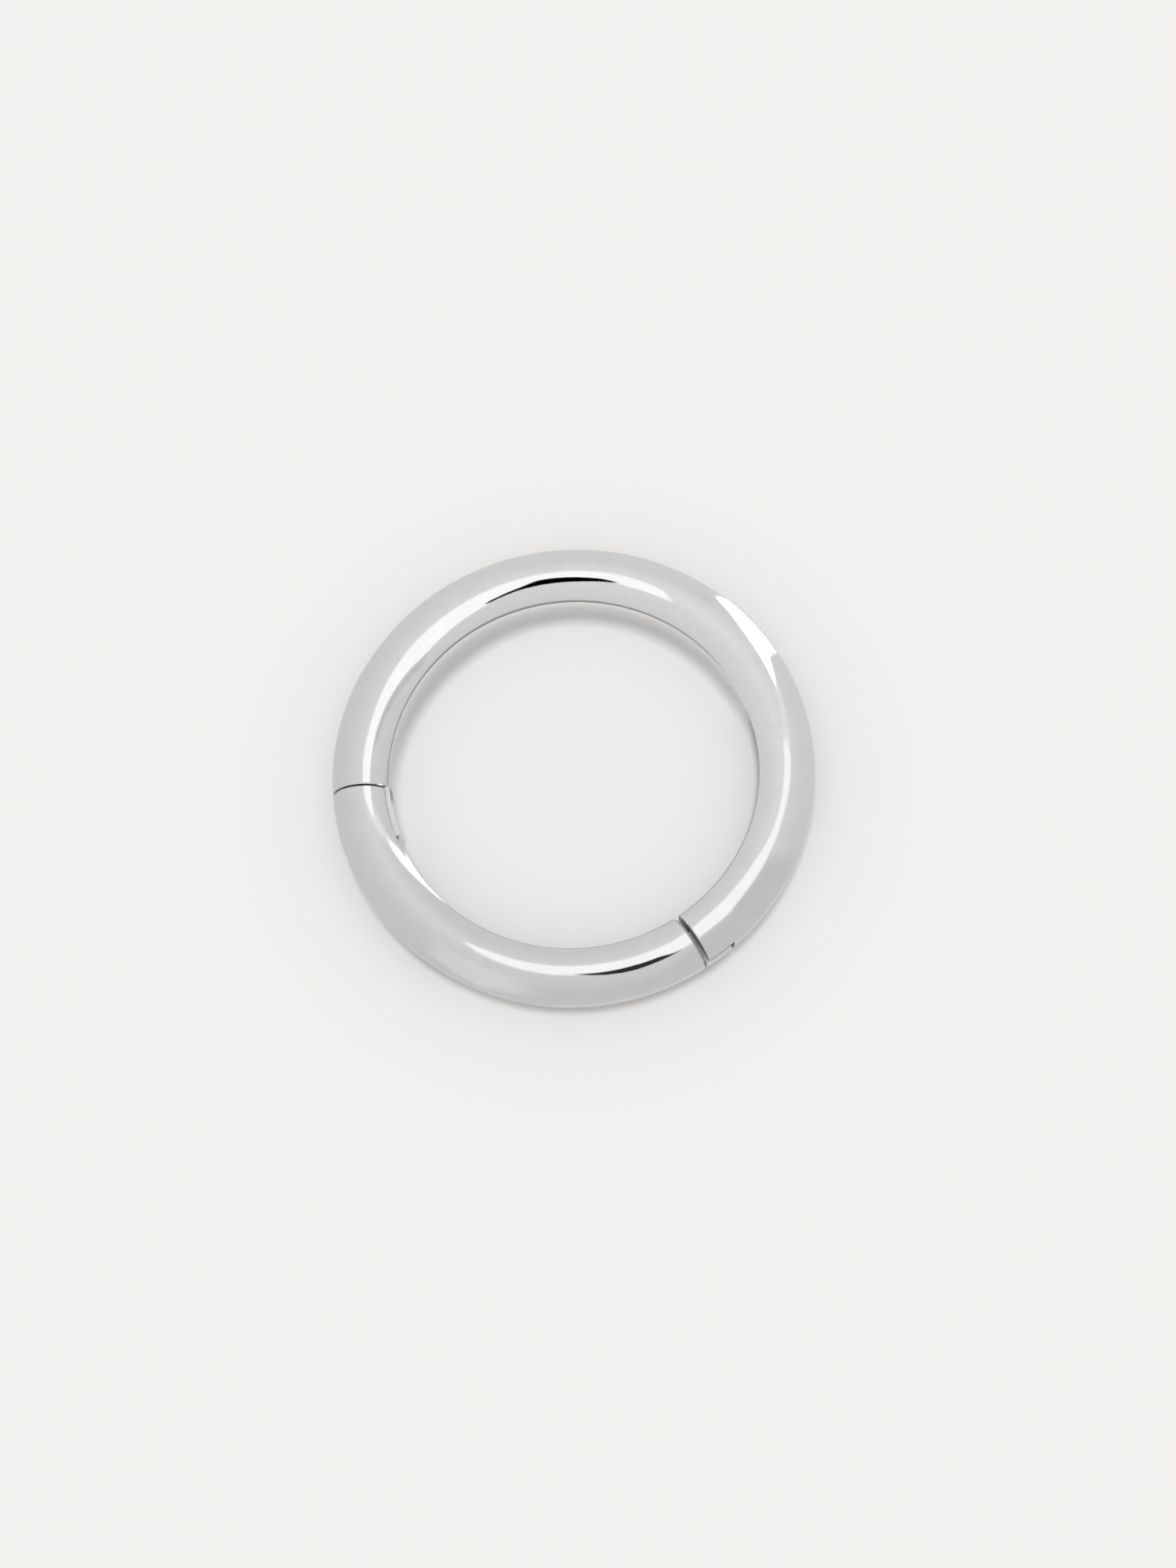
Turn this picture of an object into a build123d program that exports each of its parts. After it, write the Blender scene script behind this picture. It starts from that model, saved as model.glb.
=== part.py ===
from build123d import *
import math
import os

os.makedirs("parts", exist_ok=True)

# Driving dimensions in millimetres; angles in degrees, anticlockwise from +X seen from above.
# The ring lies flat: its axis is +Z, and z = 0 is the surface that the wire rests on.
inner_diameter = 8.0
wire_diameter = 1.2
hinge_deg = 180.0
clasp_deg = 296.0

# Hinge end: a tongue of the fixed arc turns on a pin between two ears of the gate.
hinge_gap = 0.035
tongue_thickness = 0.40
tongue_length = 1.28
tongue_proud = 0.05
tongue_side_gap = 0.03
tongue_end_gap = 0.10
pin_diameter = 0.28
pin_from_seam = 0.60
pin_outboard = 0.30
pin_running_gap = 0.025
pin_seat_gap = 0.005

# Clasp end: a flat tab of the gate drops into a slot of the fixed arc, open at its outer side.
clasp_gap = 0.085
tab_thickness = 0.36
tab_length = 0.52
tab_inboard = 0.17
tab_side_gap = 0.04
tab_end_gap = 0.08

edge_break = 0.02

# The round section's start point, anticlockwise from its outer side: low on the outer flank.
section_start_deg = -60.0

wire_radius = wire_diameter / 2
ring_radius = inner_diameter / 2 + wire_radius
cutter = 4 * wire_diameter
overlap = wire_radius / 2


def along_wire(length):
    """Angle in degrees that a length takes up along the wire's centreline."""
    return math.degrees(length / ring_radius)


def at(angle):
    """Plane on the centreline: x outward, y anticlockwise along the wire, z up."""
    a = math.radians(angle)
    origin = (ring_radius * math.cos(a), ring_radius * math.sin(a), wire_radius)
    return Plane(origin=origin, x_dir=(math.cos(a), math.sin(a), 0), z_dir=(0, 0, 1))


def turned(section, start, end):
    """Upright section drawn at +X, turned about the ring's axis from one angle to the other."""
    return Rot(Z=start) * revolve(section, Axis.Z, revolution_arc=end - start)


def wire_arc(start, end):
    """Round wire from one angle to the other, anticlockwise, with square ends."""
    upright = Rot(X=90) * Rot(Z=section_start_deg)
    return turned(Pos(ring_radius, 0, wire_radius) * upright * Circle(wire_radius), start, end)


def beyond(angle, offset=0.0):
    """Block that fills the anticlockwise side of a cut square across the wire."""
    return at(angle) * Pos(0, offset + cutter / 2, 0) * Box(cutter, cutter, cutter)


def before(angle, offset=0.0):
    """Block that fills the clockwise side of the same cut."""
    return at(angle) * Pos(0, offset - cutter / 2, 0) * Box(cutter, cutter, cutter)


def slab(angle, thickness, inner=-cutter / 2):
    """Flat layer at mid height of the wire, from a line inside it to beyond its outer side."""
    width = cutter / 2 - inner
    return at(angle) * Pos(inner + width / 2, 0, 0) * Box(width, 2 * cutter, thickness)


def hinge_post(radius):
    """Upright cylinder on the hinge axis, longer than the wire is thick."""
    place = at(hinge_deg) * Pos(pin_outboard, pin_from_seam, 0)
    return place * Cylinder(radius, 2 * wire_diameter)


def outboard_of_pin():
    """Block that fills the space outward of the hinge axis, along both arms."""
    place = at(hinge_deg) * Pos(pin_outboard + cutter / 2, pin_from_seam, 0)
    return place * Box(cutter, 2 * cutter, cutter)


def break_end(solid, angle, offset):
    """Bevel the outline of the flat end that lies in the given cut."""
    plane = at(angle) * Pos(0, offset, 0)
    normal = Plane(plane.position, z_dir=(plane * Pos(0, 1, 0)).position - plane.position)
    rim = [e for e in solid.edges() if abs(normal.to_local_coords(e @ 0.3).Z) < 1e-4
           and abs(normal.to_local_coords(e @ 0.7).Z) < 1e-4]
    return chamfer(rim, edge_break)


def tongue():
    """Flat tongue of the fixed arc, proud inside the ring and rounded about the pin outside it."""
    end = hinge_deg + along_wire(tongue_length)
    body = wire_arc(hinge_deg - along_wire(overlap), end) & slab(hinge_deg, tongue_thickness)
    width = wire_radius + tongue_proud
    strip = Rot(X=90) * Rectangle(width, tongue_thickness)
    strip = Pos(ring_radius - width / 2, 0, wire_radius) * strip
    body += turned(strip, hinge_deg - along_wire(hinge_gap / 2), end)
    reach = tongue_length + tongue_end_gap - pin_from_seam
    corner = outboard_of_pin() - hinge_post(reach - tongue_end_gap / 2)
    corner -= before(hinge_deg, pin_from_seam)
    return body - corner


def hoop_arc():
    """Long fixed arc with the hinge tongue at one end and the clasp slot at the other."""
    arc = wire_arc(clasp_deg - along_wire(wire_radius), hinge_deg + 360)
    arc -= before(clasp_deg, clasp_gap / 2)
    arc -= beyond(hinge_deg, -hinge_gap / 2)
    arc = break_end(arc, clasp_deg, clasp_gap / 2)
    arc = break_end(arc, hinge_deg, -hinge_gap / 2)
    pocket = slab(clasp_deg, tab_thickness + 2 * tab_side_gap, -tab_inboard - tab_side_gap)
    pocket -= beyond(clasp_deg + along_wire(tab_length + tab_end_gap))
    arc -= pocket
    arc += tongue()
    return arc - hinge_post(pin_diameter / 2 + pin_running_gap)


def gate_arc():
    """Short hinged arc with the two ears at one end and the clasp tab at the other."""
    arc = wire_arc(hinge_deg, clasp_deg + along_wire(wire_radius))
    arc -= before(hinge_deg, hinge_gap / 2)
    arc -= beyond(clasp_deg, -clasp_gap / 2)
    arc = break_end(arc, hinge_deg, hinge_gap / 2)
    arc = break_end(arc, clasp_deg, -clasp_gap / 2)
    slot = slab(hinge_deg, tongue_thickness + 2 * tongue_side_gap)
    slot -= beyond(hinge_deg + along_wire(tongue_length + tongue_end_gap))
    arc -= slot
    swing = outboard_of_pin() - hinge_post(pin_from_seam - hinge_gap / 2)
    arc -= swing - beyond(hinge_deg, pin_from_seam)
    tab = wire_arc(clasp_deg - along_wire(2 * overlap), clasp_deg + along_wire(tab_length))
    arc += tab & slab(clasp_deg, tab_thickness, -tab_inboard)
    return arc - hinge_post(pin_diameter / 2 + pin_seat_gap)


def hinge_pin():
    """Pin across both ears, its ends dressed flush with the round wire."""
    reach = along_wire(2 * pin_from_seam)
    return hinge_post(pin_diameter / 2) & wire_arc(hinge_deg - reach, hinge_deg + reach)


pieces = {"hoop_arc": hoop_arc(), "gate_arc": gate_arc(), "hinge_pin": hinge_pin()}
for name, piece in pieces.items():
    export_step(piece, f"parts/{name}.step")
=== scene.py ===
"""Hinged segment hoop earring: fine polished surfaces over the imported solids, on a pale floor."""

import logging
import math
from dataclasses import dataclass, field
from enum import Enum
from typing import Any, Sequence

import bpy
import numpy as np
from mathutils import Matrix, Vector

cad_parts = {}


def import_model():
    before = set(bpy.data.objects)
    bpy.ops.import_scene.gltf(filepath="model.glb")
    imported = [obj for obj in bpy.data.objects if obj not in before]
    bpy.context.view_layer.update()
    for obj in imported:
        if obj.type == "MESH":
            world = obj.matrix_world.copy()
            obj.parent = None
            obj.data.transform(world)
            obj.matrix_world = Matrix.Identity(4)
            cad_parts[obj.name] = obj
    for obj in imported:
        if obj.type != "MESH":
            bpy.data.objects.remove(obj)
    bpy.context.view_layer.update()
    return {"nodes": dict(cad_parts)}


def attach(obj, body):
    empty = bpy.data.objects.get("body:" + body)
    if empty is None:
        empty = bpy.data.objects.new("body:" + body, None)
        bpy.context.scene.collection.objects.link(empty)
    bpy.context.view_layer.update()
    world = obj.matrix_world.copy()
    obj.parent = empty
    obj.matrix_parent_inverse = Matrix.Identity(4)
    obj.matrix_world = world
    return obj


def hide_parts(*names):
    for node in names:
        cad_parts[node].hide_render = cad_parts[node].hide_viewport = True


LOG = logging.getLogger("earring")

# One millimetre in metres, and the distance in metres within which two points are one.
MM = 0.001
WELD = 1e-9
# How far off the wire's skin, in millimetres, a point still counts as on it.
ON_SKIN = 0.002
# How squarely across the wire a face stands, from 0 to 1, for it to be a cut.
CROSSWISE = 0.8
# How far down a broken edge the polish reaches, as a share of the edge's width. Deeper faces get
# the dull cut finish, whose darker grey is painted shade.
POLISHED_AND_UNSHADED = 0.75


def along_wire(length: float, ring_radius: float) -> float:
    """Angle in radians that a length takes up on the wire's centreline."""
    return length / ring_radius


def linked(name: str, data: Any) -> bpy.types.Object:
    """Makes an object and puts it in the scene.

    Args:
        name: name of the object.
        data: its mesh, light or camera.

    Returns:
        The object.
    """
    item = bpy.data.objects.new(name, data)
    bpy.context.scene.collection.objects.link(item)
    return item


def hide(item: bpy.types.Object, *rays: str) -> None:
    """Hides an object from the kinds of ray that are named."""
    for ray in rays:
        setattr(item, f"visible_{ray}", False)


def read(items: Any, name: str, width: int = 1, kind: type = float) -> np.ndarray:
    """Reads one property of all the parts of a mesh.

    Args:
        items: the mesh's vertices, corners or faces.
        name: the property.
        width: how many numbers it has for each part.
        kind: their type.

    Returns:
        An array with one row for each part.
    """
    values = np.empty(len(items) * width, kind)
    items.foreach_get(name, values)
    return values.reshape(-1, width) if width > 1 else values


class Side(Enum):
    """The two sides of the ring's middle plane."""

    UPPER = 1
    LOWER = -1


@dataclass(frozen=True)
class WireRing:
    """The round wire's own sizes, in millimetres, with the ring lying flat on z = 0."""

    ring_radius: float = 4.6
    wire_radius: float = 0.6
    hinge_angle: float = math.radians(180.0)
    clasp_angle: float = math.radians(296.0)
    hinge_gap: float = 0.035
    clasp_gap: float = 0.085
    edge_break: float = 0.02
    worn_break: float = 0.055
    step: float = math.radians(0.8)
    slot_far: tuple[float, float] = (math.radians(11.0), math.radians(20.0))
    slot_outward: float = 0.2
    cut_rounds: int = 6
    plate_loops: int = 12

    def place(self, angle: np.ndarray, out: np.ndarray, up: np.ndarray) -> np.ndarray:
        """Puts section points in space.

        Formula: the point stands at the ring radius plus its outward distance from the
        axis, turned by the ring angle, and its height is the wire radius plus its rise.

        Args:
            angle: ring angle of each point, in radians.
            out: distance outward of the centreline, in millimetres.
            up: height above the centreline, in millimetres.

        Returns:
            Points in metres, with the last axis holding x, y and z.
        """
        reach = self.ring_radius + out
        height = self.wire_radius + up + 0.0 * angle
        return np.stack([reach * np.cos(angle), reach * np.sin(angle), height], -1) * MM

    def ring(self, section: np.ndarray, angle: Any) -> np.ndarray:
        """Puts one section's places at the given ring angles."""
        return self.place(angle + 0 * section[:, 0], section[:, 0], section[:, 1])

    def run(self, section: np.ndarray, start: Any, end: Any, loops: int) -> list[np.ndarray]:
        """Puts one section at even steps from one ring angle to another, both included."""
        return [self.ring(section, start * (1 - t) + end * t) for t in np.linspace(0, 1, loops)]

    def cut_angle(self, seam: float, offset: float, out: np.ndarray) -> np.ndarray:
        """Ring angle at which a flat cut, a small distance past a seam, meets each point.

        Formula: the cut's plane is parallel to the seam's, so the angle from the seam is
        the arcsine of the offset over the point's distance from the axis.

        Args:
            seam: ring angle of the seam's plane.
            offset: distance of the cut from that plane, in millimetres.
            out: outward distance of the points from the centreline.

        Returns:
            One ring angle for each point.
        """
        return seam + np.arcsin(offset / (self.ring_radius + out))

    def skin_normals(self, points: np.ndarray) -> np.ndarray:
        """Exact normals of the round wire at points on or near its skin.

        Formula: the normal is the unit vector to the point from the nearest point of the
        centreline circle.

        Args:
            points: points in metres.

        Returns:
            Unit normals, one for each point.
        """
        offset = self.from_centreline(points)
        return offset / np.linalg.norm(offset, axis=1, keepdims=True)

    def from_centreline(self, points: np.ndarray) -> np.ndarray:
        """How far each point lies from the nearest point of the centreline, and which way.

        Formula: the centreline's point is the point's own direction from the ring's axis,
        drawn out to the ring radius at the wire's middle height.

        Args:
            points: points in metres.

        Returns:
            Offsets in millimetres.
        """
        p = points / MM
        reach = np.hypot(p[:, 0], p[:, 1])[:, None]
        centre = np.append(p[:, :2] / reach * self.ring_radius, 0 * reach, axis=1)
        return p - centre - (0.0, 0.0, self.wire_radius)

    def depth(self, points: np.ndarray) -> np.ndarray:
        """Depth in millimetres of each point below the wire's skin."""
        return self.wire_radius - np.linalg.norm(self.from_centreline(points), axis=1)

    def crosswise(self, points: np.ndarray, normals: np.ndarray) -> np.ndarray:
        """How squarely across the wire each face stands.

        Formula: the size of the dot product of the face's normal with the direction along
        the wire, which is the point's own direction from the axis turned by a right angle.

        Args:
            points: the faces' middles, in metres.
            normals: their unit normals.

        Returns:
            Values from 0 to 1.
        """
        along = np.stack([-points[:, 1], points[:, 0]], -1)
        along /= np.linalg.norm(along, axis=1, keepdims=True)
        return np.abs((along * normals[:, :2]).sum(axis=1))

    def slot_end_outside(self, points: np.ndarray) -> np.ndarray:
        """Finds what lies at the outer side of the hinge slot's far end.

        Formula: the ring angle past the hinge seam lies between the slot end's two limits,
        and the distance outward of the centreline is above its own.

        Args:
            points: points in metres.

        Returns:
            True or False for each point.
        """
        turn = np.arctan2(points[:, 1], points[:, 0]) % (2 * math.pi) - self.hinge_angle
        outward = np.hypot(points[:, 0], points[:, 1]) / MM - self.ring_radius
        near, far = self.slot_far
        return (turn > near) & (turn < far) & (outward > self.slot_outward)


@dataclass
class Shell:
    """A closed surface gathered as arrays, then welded into one mesh."""

    points: list[np.ndarray] = field(default_factory=list)
    quads: list[np.ndarray] = field(default_factory=list)
    rims: list[np.ndarray] = field(default_factory=list)
    count: int = 0

    def loft(self, rings: np.ndarray) -> np.ndarray:
        """Adds a tube of closed loops.

        Formula: each point of a loop is joined to the same point of the next loop and to
        its neighbour round the loop, so the faces form a grid that wraps one way.

        Args:
            rings: points in metres, loops by places round a loop by 3.

        Returns:
            The index of each point, loops by places.
        """
        loops, places = rings.shape[:2]
        index = self.count + np.arange(loops * places).reshape(loops, places)
        after = np.roll(index, -1, axis=1)
        quad = np.stack([index[:-1], index[1:], after[1:], after[:-1]], -1)
        self.points.append(rings.reshape(-1, 3))
        self.quads.append(quad.reshape(-1, 4))
        self.count += loops * places
        return index

    def bridge(self, one: np.ndarray, other: np.ndarray) -> None:
        """Adds a strip of faces between two rows of places that are already there."""
        self.quads.append(np.stack([one[:-1], other[:-1], other[1:], one[1:]], -1))

    def cap(self, rim: np.ndarray) -> None:
        """Closes an end with a flat face whose outline is the given row of points."""
        self.rims.append(rim)

    def mesh(self, name: str) -> bpy.types.Mesh:
        """Welds the points that coincide and makes the mesh.

        Formula: points that agree when rounded to a millionth of a millimetre become one,
        and a face with two corners at one point loses the second.

        Args:
            name: name of the mesh.

        Returns:
            The closed mesh, without normals of its own.
        """
        points = np.concatenate(self.points)
        cells = np.round(points / WELD).astype(np.int64)
        _, first, weld = np.unique(cells, axis=0, return_index=True, return_inverse=True)
        weld = weld.reshape(-1)
        quads = weld[np.concatenate(self.quads)]
        same = quads == np.roll(quads, -1, axis=1)
        across = (quads[:, 0] == quads[:, 2]) | (quads[:, 1] == quads[:, 3])
        whole = quads[~same.any(axis=1) & ~across]
        lean = (same.sum(axis=1) == 1) & ~across
        corners = quads[lean][~same[lean]].reshape(-1, 3)
        outlines = [weld[rim] for rim in self.rims]
        outlines = [rim[rim != np.roll(rim, 1)].tolist() for rim in outlines]
        mesh = bpy.data.meshes.new(name)
        mesh.from_pydata(points[first].tolist(), [], whole.tolist() + corners.tolist() + outlines)
        mesh.update()
        return mesh


@dataclass(frozen=True)
class PolishedSteel:
    """Mirror-polished steel with a very faint unevenness left by the polishing wheel."""

    name: str
    dull: float = 0.735
    bright: float = 0.85
    roughness: float = 0.07
    roughness_change: float = 0.05
    cloud_scale: float = 2600.0
    grain_scale: float = 9000.0
    detail: float = 3.0
    cloud_in_colour: float = 0.6
    cloud_in_bump: float = 0.7
    bump_strength: float = 0.02
    bump_height: float = 0.0001

    def material(self) -> bpy.types.Material:
        """The finish as a material.

        Formula: a coarse and a fine noise, mixed by their shares, set the grey and the
        bump, and the fine one alone changes the roughness a little about its middle.

        Returns:
            The material.
        """
        nodes = Nodes.of_material(self.name)
        place = nodes.add("ShaderNodeTexCoord")["Object"]
        cloud = nodes.noise(place, self.cloud_scale, self.detail)
        grain = nodes.noise(place, self.grain_scale, self.detail)
        mottle = cloud * self.cloud_in_colour + grain * (1 - self.cloud_in_colour)
        height = cloud * self.cloud_in_bump + grain * (1 - self.cloud_in_bump)
        bump = nodes.add(
            "ShaderNodeBump",
            {},
            {"Height": height, "Strength": self.bump_strength, "Distance": self.bump_height},
        )
        return nodes.metal(
            nodes.grey(mottle, self.dull, self.bright),
            self.roughness + (grain - 0.5) * self.roughness_change,
            {"Normal": bump["Normal"]},
        )


@dataclass(frozen=True)
class UnpolishedShadedSteel:
    """The cut faces inside the seams and slots, which no polish reaches: dull, and darker as
    painted shade in these recesses.
    """

    name: str
    # Both greys sit below the polished steel's as painted shade in the seams and slots; the grain
    # between them is random tone.
    dark: float = 0.56
    light: float = 0.74
    roughness: float = 0.55
    grain_scale: float = 16000.0
    detail: float = 2.0

    def material(self) -> bpy.types.Material:
        """The finish as a material."""
        nodes = Nodes.of_material(self.name)
        place = nodes.add("ShaderNodeTexCoord")["Object"]
        grain = nodes.noise(place, self.grain_scale, self.detail)
        return nodes.metal(nodes.grey(grain, self.dark, self.light), self.roughness, {})


@dataclass(frozen=True)
class Finish:
    """The two finishes of a piece: its polished outside and its unpolished cuts, darkened as
    painted shade.
    """

    outside: bpy.types.Material
    shaded_cuts: bpy.types.Material


class Value:
    """An output socket that can be used in plain arithmetic."""

    def __init__(self, nodes: "Nodes", socket: bpy.types.NodeSocket) -> None:
        """Keeps the socket and the nodes that it belongs to."""
        self.nodes = nodes
        self.socket = socket

    def _math(self, operation: str, one: Any, other: Any) -> "Value":
        """A Math node on two values."""
        return self.nodes.add(
            "ShaderNodeMath", {"operation": operation}, {0: one, 1: other}
        )["Value"]

    def __add__(self, other: Any) -> "Value":
        """Sum."""
        return self._math("ADD", self, other)

    def __radd__(self, other: Any) -> "Value":
        """Sum with a number on the left."""
        return self._math("ADD", other, self)

    def __sub__(self, other: Any) -> "Value":
        """Difference."""
        return self._math("SUBTRACT", self, other)

    def __rsub__(self, other: Any) -> "Value":
        """Difference from a number on the left."""
        return self._math("SUBTRACT", other, self)

    def __mul__(self, other: Any) -> "Value":
        """Product."""
        return self._math("MULTIPLY", self, other)

    def __rmul__(self, other: Any) -> "Value":
        """Product with a number on the left."""
        return self._math("MULTIPLY", other, self)


class Nodes:
    """The nodes of a material or of the surroundings, added one at a time."""

    def __init__(self, tree: bpy.types.NodeTree) -> None:
        """Starts on a tree, emptied of the nodes that it came with."""
        self.tree = tree
        tree.nodes.clear()

    @classmethod
    def of_material(cls, name: str) -> "Nodes":
        """Starts a new material.

        Args:
            name: name of the material.

        Returns:
            Its nodes, still empty.
        """
        material = bpy.data.materials.new(name)
        material.use_nodes = True
        nodes = cls(material.node_tree)
        nodes.material = material
        return nodes

    def add(
        self,
        kind: str,
        settings: dict[str, Any] | None = None,
        inputs: dict[str | int, Any] | None = None,
    ) -> dict[str, Value]:
        """Adds a node.

        Args:
            kind: the node's type.
            settings: the node's own settings, set first.
            inputs: values or links for its sockets, by name or number.

        Returns:
            Its output sockets by name.
        """
        node = self.tree.nodes.new(kind)
        for key, value in (settings or {}).items():
            setattr(node, key, value)
        usable = {s.name: s for s in reversed(node.inputs) if s.enabled}
        for key, value in (inputs or {}).items():
            socket = node.inputs[key] if isinstance(key, int) else usable[key]
            if isinstance(value, Value):
                self.tree.links.new(value.socket, socket)
            else:
                socket.default_value = value
        return {s.name: Value(self, s) for s in reversed(node.outputs) if s.enabled}

    def noise(self, place: Value, scale: float, detail: float) -> Value:
        """Soft random values between 0 and 1."""
        inputs = {"Vector": place, "Scale": scale, "Detail": detail}
        return self.add("ShaderNodeTexNoise", {}, inputs)["Fac"]

    def grey(self, share: Value, dark: float, light: float) -> Value:
        """A grey that goes from the dark tone to the light one with a share."""
        inputs = {"Factor": share, "A": (dark, dark, dark, 1.0), "B": (light, light, light, 1.0)}
        return self.add("ShaderNodeMix", {"data_type": "RGBA"}, inputs)["Result"]

    def metal(self, colour: Value, roughness: Any, more: dict[str, Any]) -> bpy.types.Material:
        """Makes bare metal the material's surface and returns the material."""
        inputs = {"Base Color": colour, "Metallic": 1.0, "Roughness": roughness, **more}
        return self.surface(self.add("ShaderNodeBsdfPrincipled", {}, inputs)["BSDF"])

    def surface(self, shader: Value) -> bpy.types.Material:
        """Makes a shader the material's surface and returns the material."""
        self.add("ShaderNodeOutputMaterial", {}, {"Surface": shader})
        return self.material


@dataclass
class Hinge:
    """Tongue, slot and pin of the hinge, in millimetres."""

    tongue_thickness: float = 0.40
    tongue_length: float = 1.28
    tongue_proud: float = 0.05
    side_gap: float = 0.03
    end_gap: float = 0.10
    pin_radius: float = 0.14
    pin_from_seam: float = 0.60
    pin_outboard: float = 0.30
    bore_radius: float = 0.165
    pin_line: float = 0.0005
    pin_places: int = 64

    @property
    def slot_half(self) -> float:
        """Half the slot's height."""
        return self.tongue_thickness / 2 + self.side_gap


@dataclass
class Clasp:
    """Tab and slot of the clasp, in millimetres."""

    tab_thickness: float = 0.36
    tab_length: float = 0.52
    tab_inboard: float = 0.17
    side_gap: float = 0.04
    end_gap: float = 0.08

    @property
    def slot_half(self) -> float:
        """Half the slot's height."""
        return self.tab_thickness / 2 + self.side_gap


@dataclass
class Sections:
    """Loops of points round the wire, each with as many places as the others."""

    wire: WireRing
    side_places: int = 28
    crown_places: int = 62

    def circle(self, split: float, radius: float | None = None) -> np.ndarray:
        """Round section whose places fall on four arcs.

        Formula: cosine and sine of an angle that runs evenly over the outer side between
        the two split angles, then over the crown, the inner side and the underside.

        Args:
            split: half the outer side's angle, in radians.
            radius: the section's radius, or the wire's own.

        Returns:
            Outward distance and rise of each place.
        """
        r = self.wire.wire_radius if radius is None else radius
        corners = (-split, split, math.pi - split, math.pi + split, 2 * math.pi - split)
        places = (self.side_places, self.crown_places) * 2
        turn = np.concatenate(
            [
                np.linspace(one, other, count, endpoint=False)
                for one, other, count in zip(corners[:-1], corners[1:], places)
            ]
        )
        return np.stack([r * np.cos(turn), r * np.sin(turn)], -1)

    def arm(
        self, start: float, splits: tuple[float, float], seam: float, gap: float, edge: float
    ) -> list[np.ndarray]:
        """Round wire up to the face in which an arc ends before a seam.

        Formula: from loop to loop the places' split angle goes evenly from one value to the
        other, and the loops turn from square across the wire to parallel to the seam. The
        last loop lies in the face, drawn in by the width of the broken edge.

        Args:
            start: ring angle of the first loop.
            splits: the split angle at the start and at the seam.
            seam: ring angle of the seam's plane.
            gap: width of the seam, in millimetres.
            edge: width of the broken edge.

        Returns:
            The loops, as points in metres.
        """
        w = self.wire
        rings = []
        for t in np.linspace(0, 1, int((seam - start) / w.step)):
            section = self.circle(splits[0] * (1 - t) + splits[1] * t)
            stop = w.cut_angle(seam, -gap / 2 - edge, section[:, 0])
            rings.append(w.ring(section, start * (1 - t) + stop * t))
        rim = self.circle(splits[1], w.wire_radius - edge)
        return rings + [w.ring(rim, w.cut_angle(seam, -gap / 2, rim[:, 0]))]

    def plate(self, half: float, inner: float) -> np.ndarray:
        """Flat plate section: round outside, square inside.

        Formula: the outer side keeps the wire's arc, the crown and the underside become
        level lines at the half thickness, and the inner side is upright.

        Args:
            half: half the plate's thickness.
            inner: outward distance of its inner face, below zero inside the centreline.

        Returns:
            Outward distance and rise of each place.
        """
        r = self.wire.wire_radius
        split = math.asin(half / r)
        s, c = self.side_places, self.crown_places
        corner = r * math.cos(split)
        side = np.linspace(-split, split, s, endpoint=False)
        level = np.linspace(corner, inner, c, endpoint=False)
        rise = np.linspace(half, -half, s, endpoint=False)
        back = np.linspace(inner, corner, c, endpoint=False)
        out = np.concatenate([r * np.cos(side), level, np.full(s, inner), back])
        up = np.concatenate([r * np.sin(side), np.full(c, half), rise, np.full(c, -half)])
        return np.stack([out, up], -1)

    def pocket(self, half: float, inner: float, rim: float | None = None) -> np.ndarray:
        """Round section with a square pocket cut in from its outer side.

        Formula: the outer side's places run in along the pocket's floor, up its back and
        out along its roof, and the other places keep the wire's arc.

        Args:
            half: half the pocket's height.
            inner: outward distance of the pocket's back wall.
            rim: radius of the arc, or the wire's own.

        Returns:
            Outward distance and rise of each place.
        """
        r = self.wire.wire_radius
        split = math.asin(half / r)
        loop = self.circle(split, rim)
        s = self.side_places
        lip = r * math.cos(split)
        third = s // 3
        last = s - 2 * third
        floor = np.linspace(lip, inner, third, endpoint=False)
        wall = np.linspace(-half, half, third, endpoint=False)
        roof = np.linspace(inner, lip, last, endpoint=False)
        loop[:s, 0] = np.concatenate([floor, np.full(third, inner), roof])
        loop[:s, 1] = np.concatenate([np.full(third, -half), wall, np.full(last, half)])
        return loop


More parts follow.
